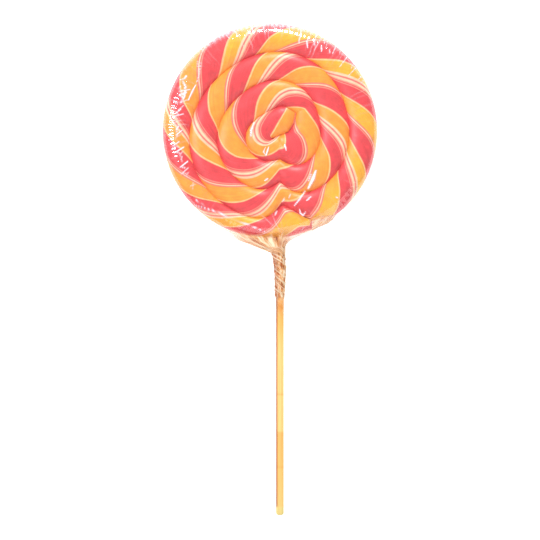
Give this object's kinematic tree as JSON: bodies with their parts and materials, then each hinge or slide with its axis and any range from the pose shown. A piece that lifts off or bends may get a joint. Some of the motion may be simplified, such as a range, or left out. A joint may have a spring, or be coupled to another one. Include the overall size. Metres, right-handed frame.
{
  "type": "swirl lollipop",
  "caption": "Large wrapped swirl lollipop: a flat rope of pulled sugar coiled into a disc on a round wooden stick, with clear film gathered at the neck.",
  "frame": {"origin": "centre of the sugar disc, in the plane of the flat back that it lies on", "axes": "+Z out of the shown face, away from the surface that it lies on; +Y from the stick's end towards the disc, along the stick; +X to the right of the shown face with the stick pointing down"},
  "size_m": [0.1199, 0.275, 0.013],
  "materials": {
    "pulled_sugar": "glossy pulled sugar striped in red, orange-yellow, cream and pink",
    "dowel": "smooth pale birch",
    "clear_film": "thin clear cellophane, creased"
  },
  "bodies": {
    "root": {"candy": "pulled_sugar", "stick": "dowel", "film_neck": "clear_film"}
  },
  "joints": []
}
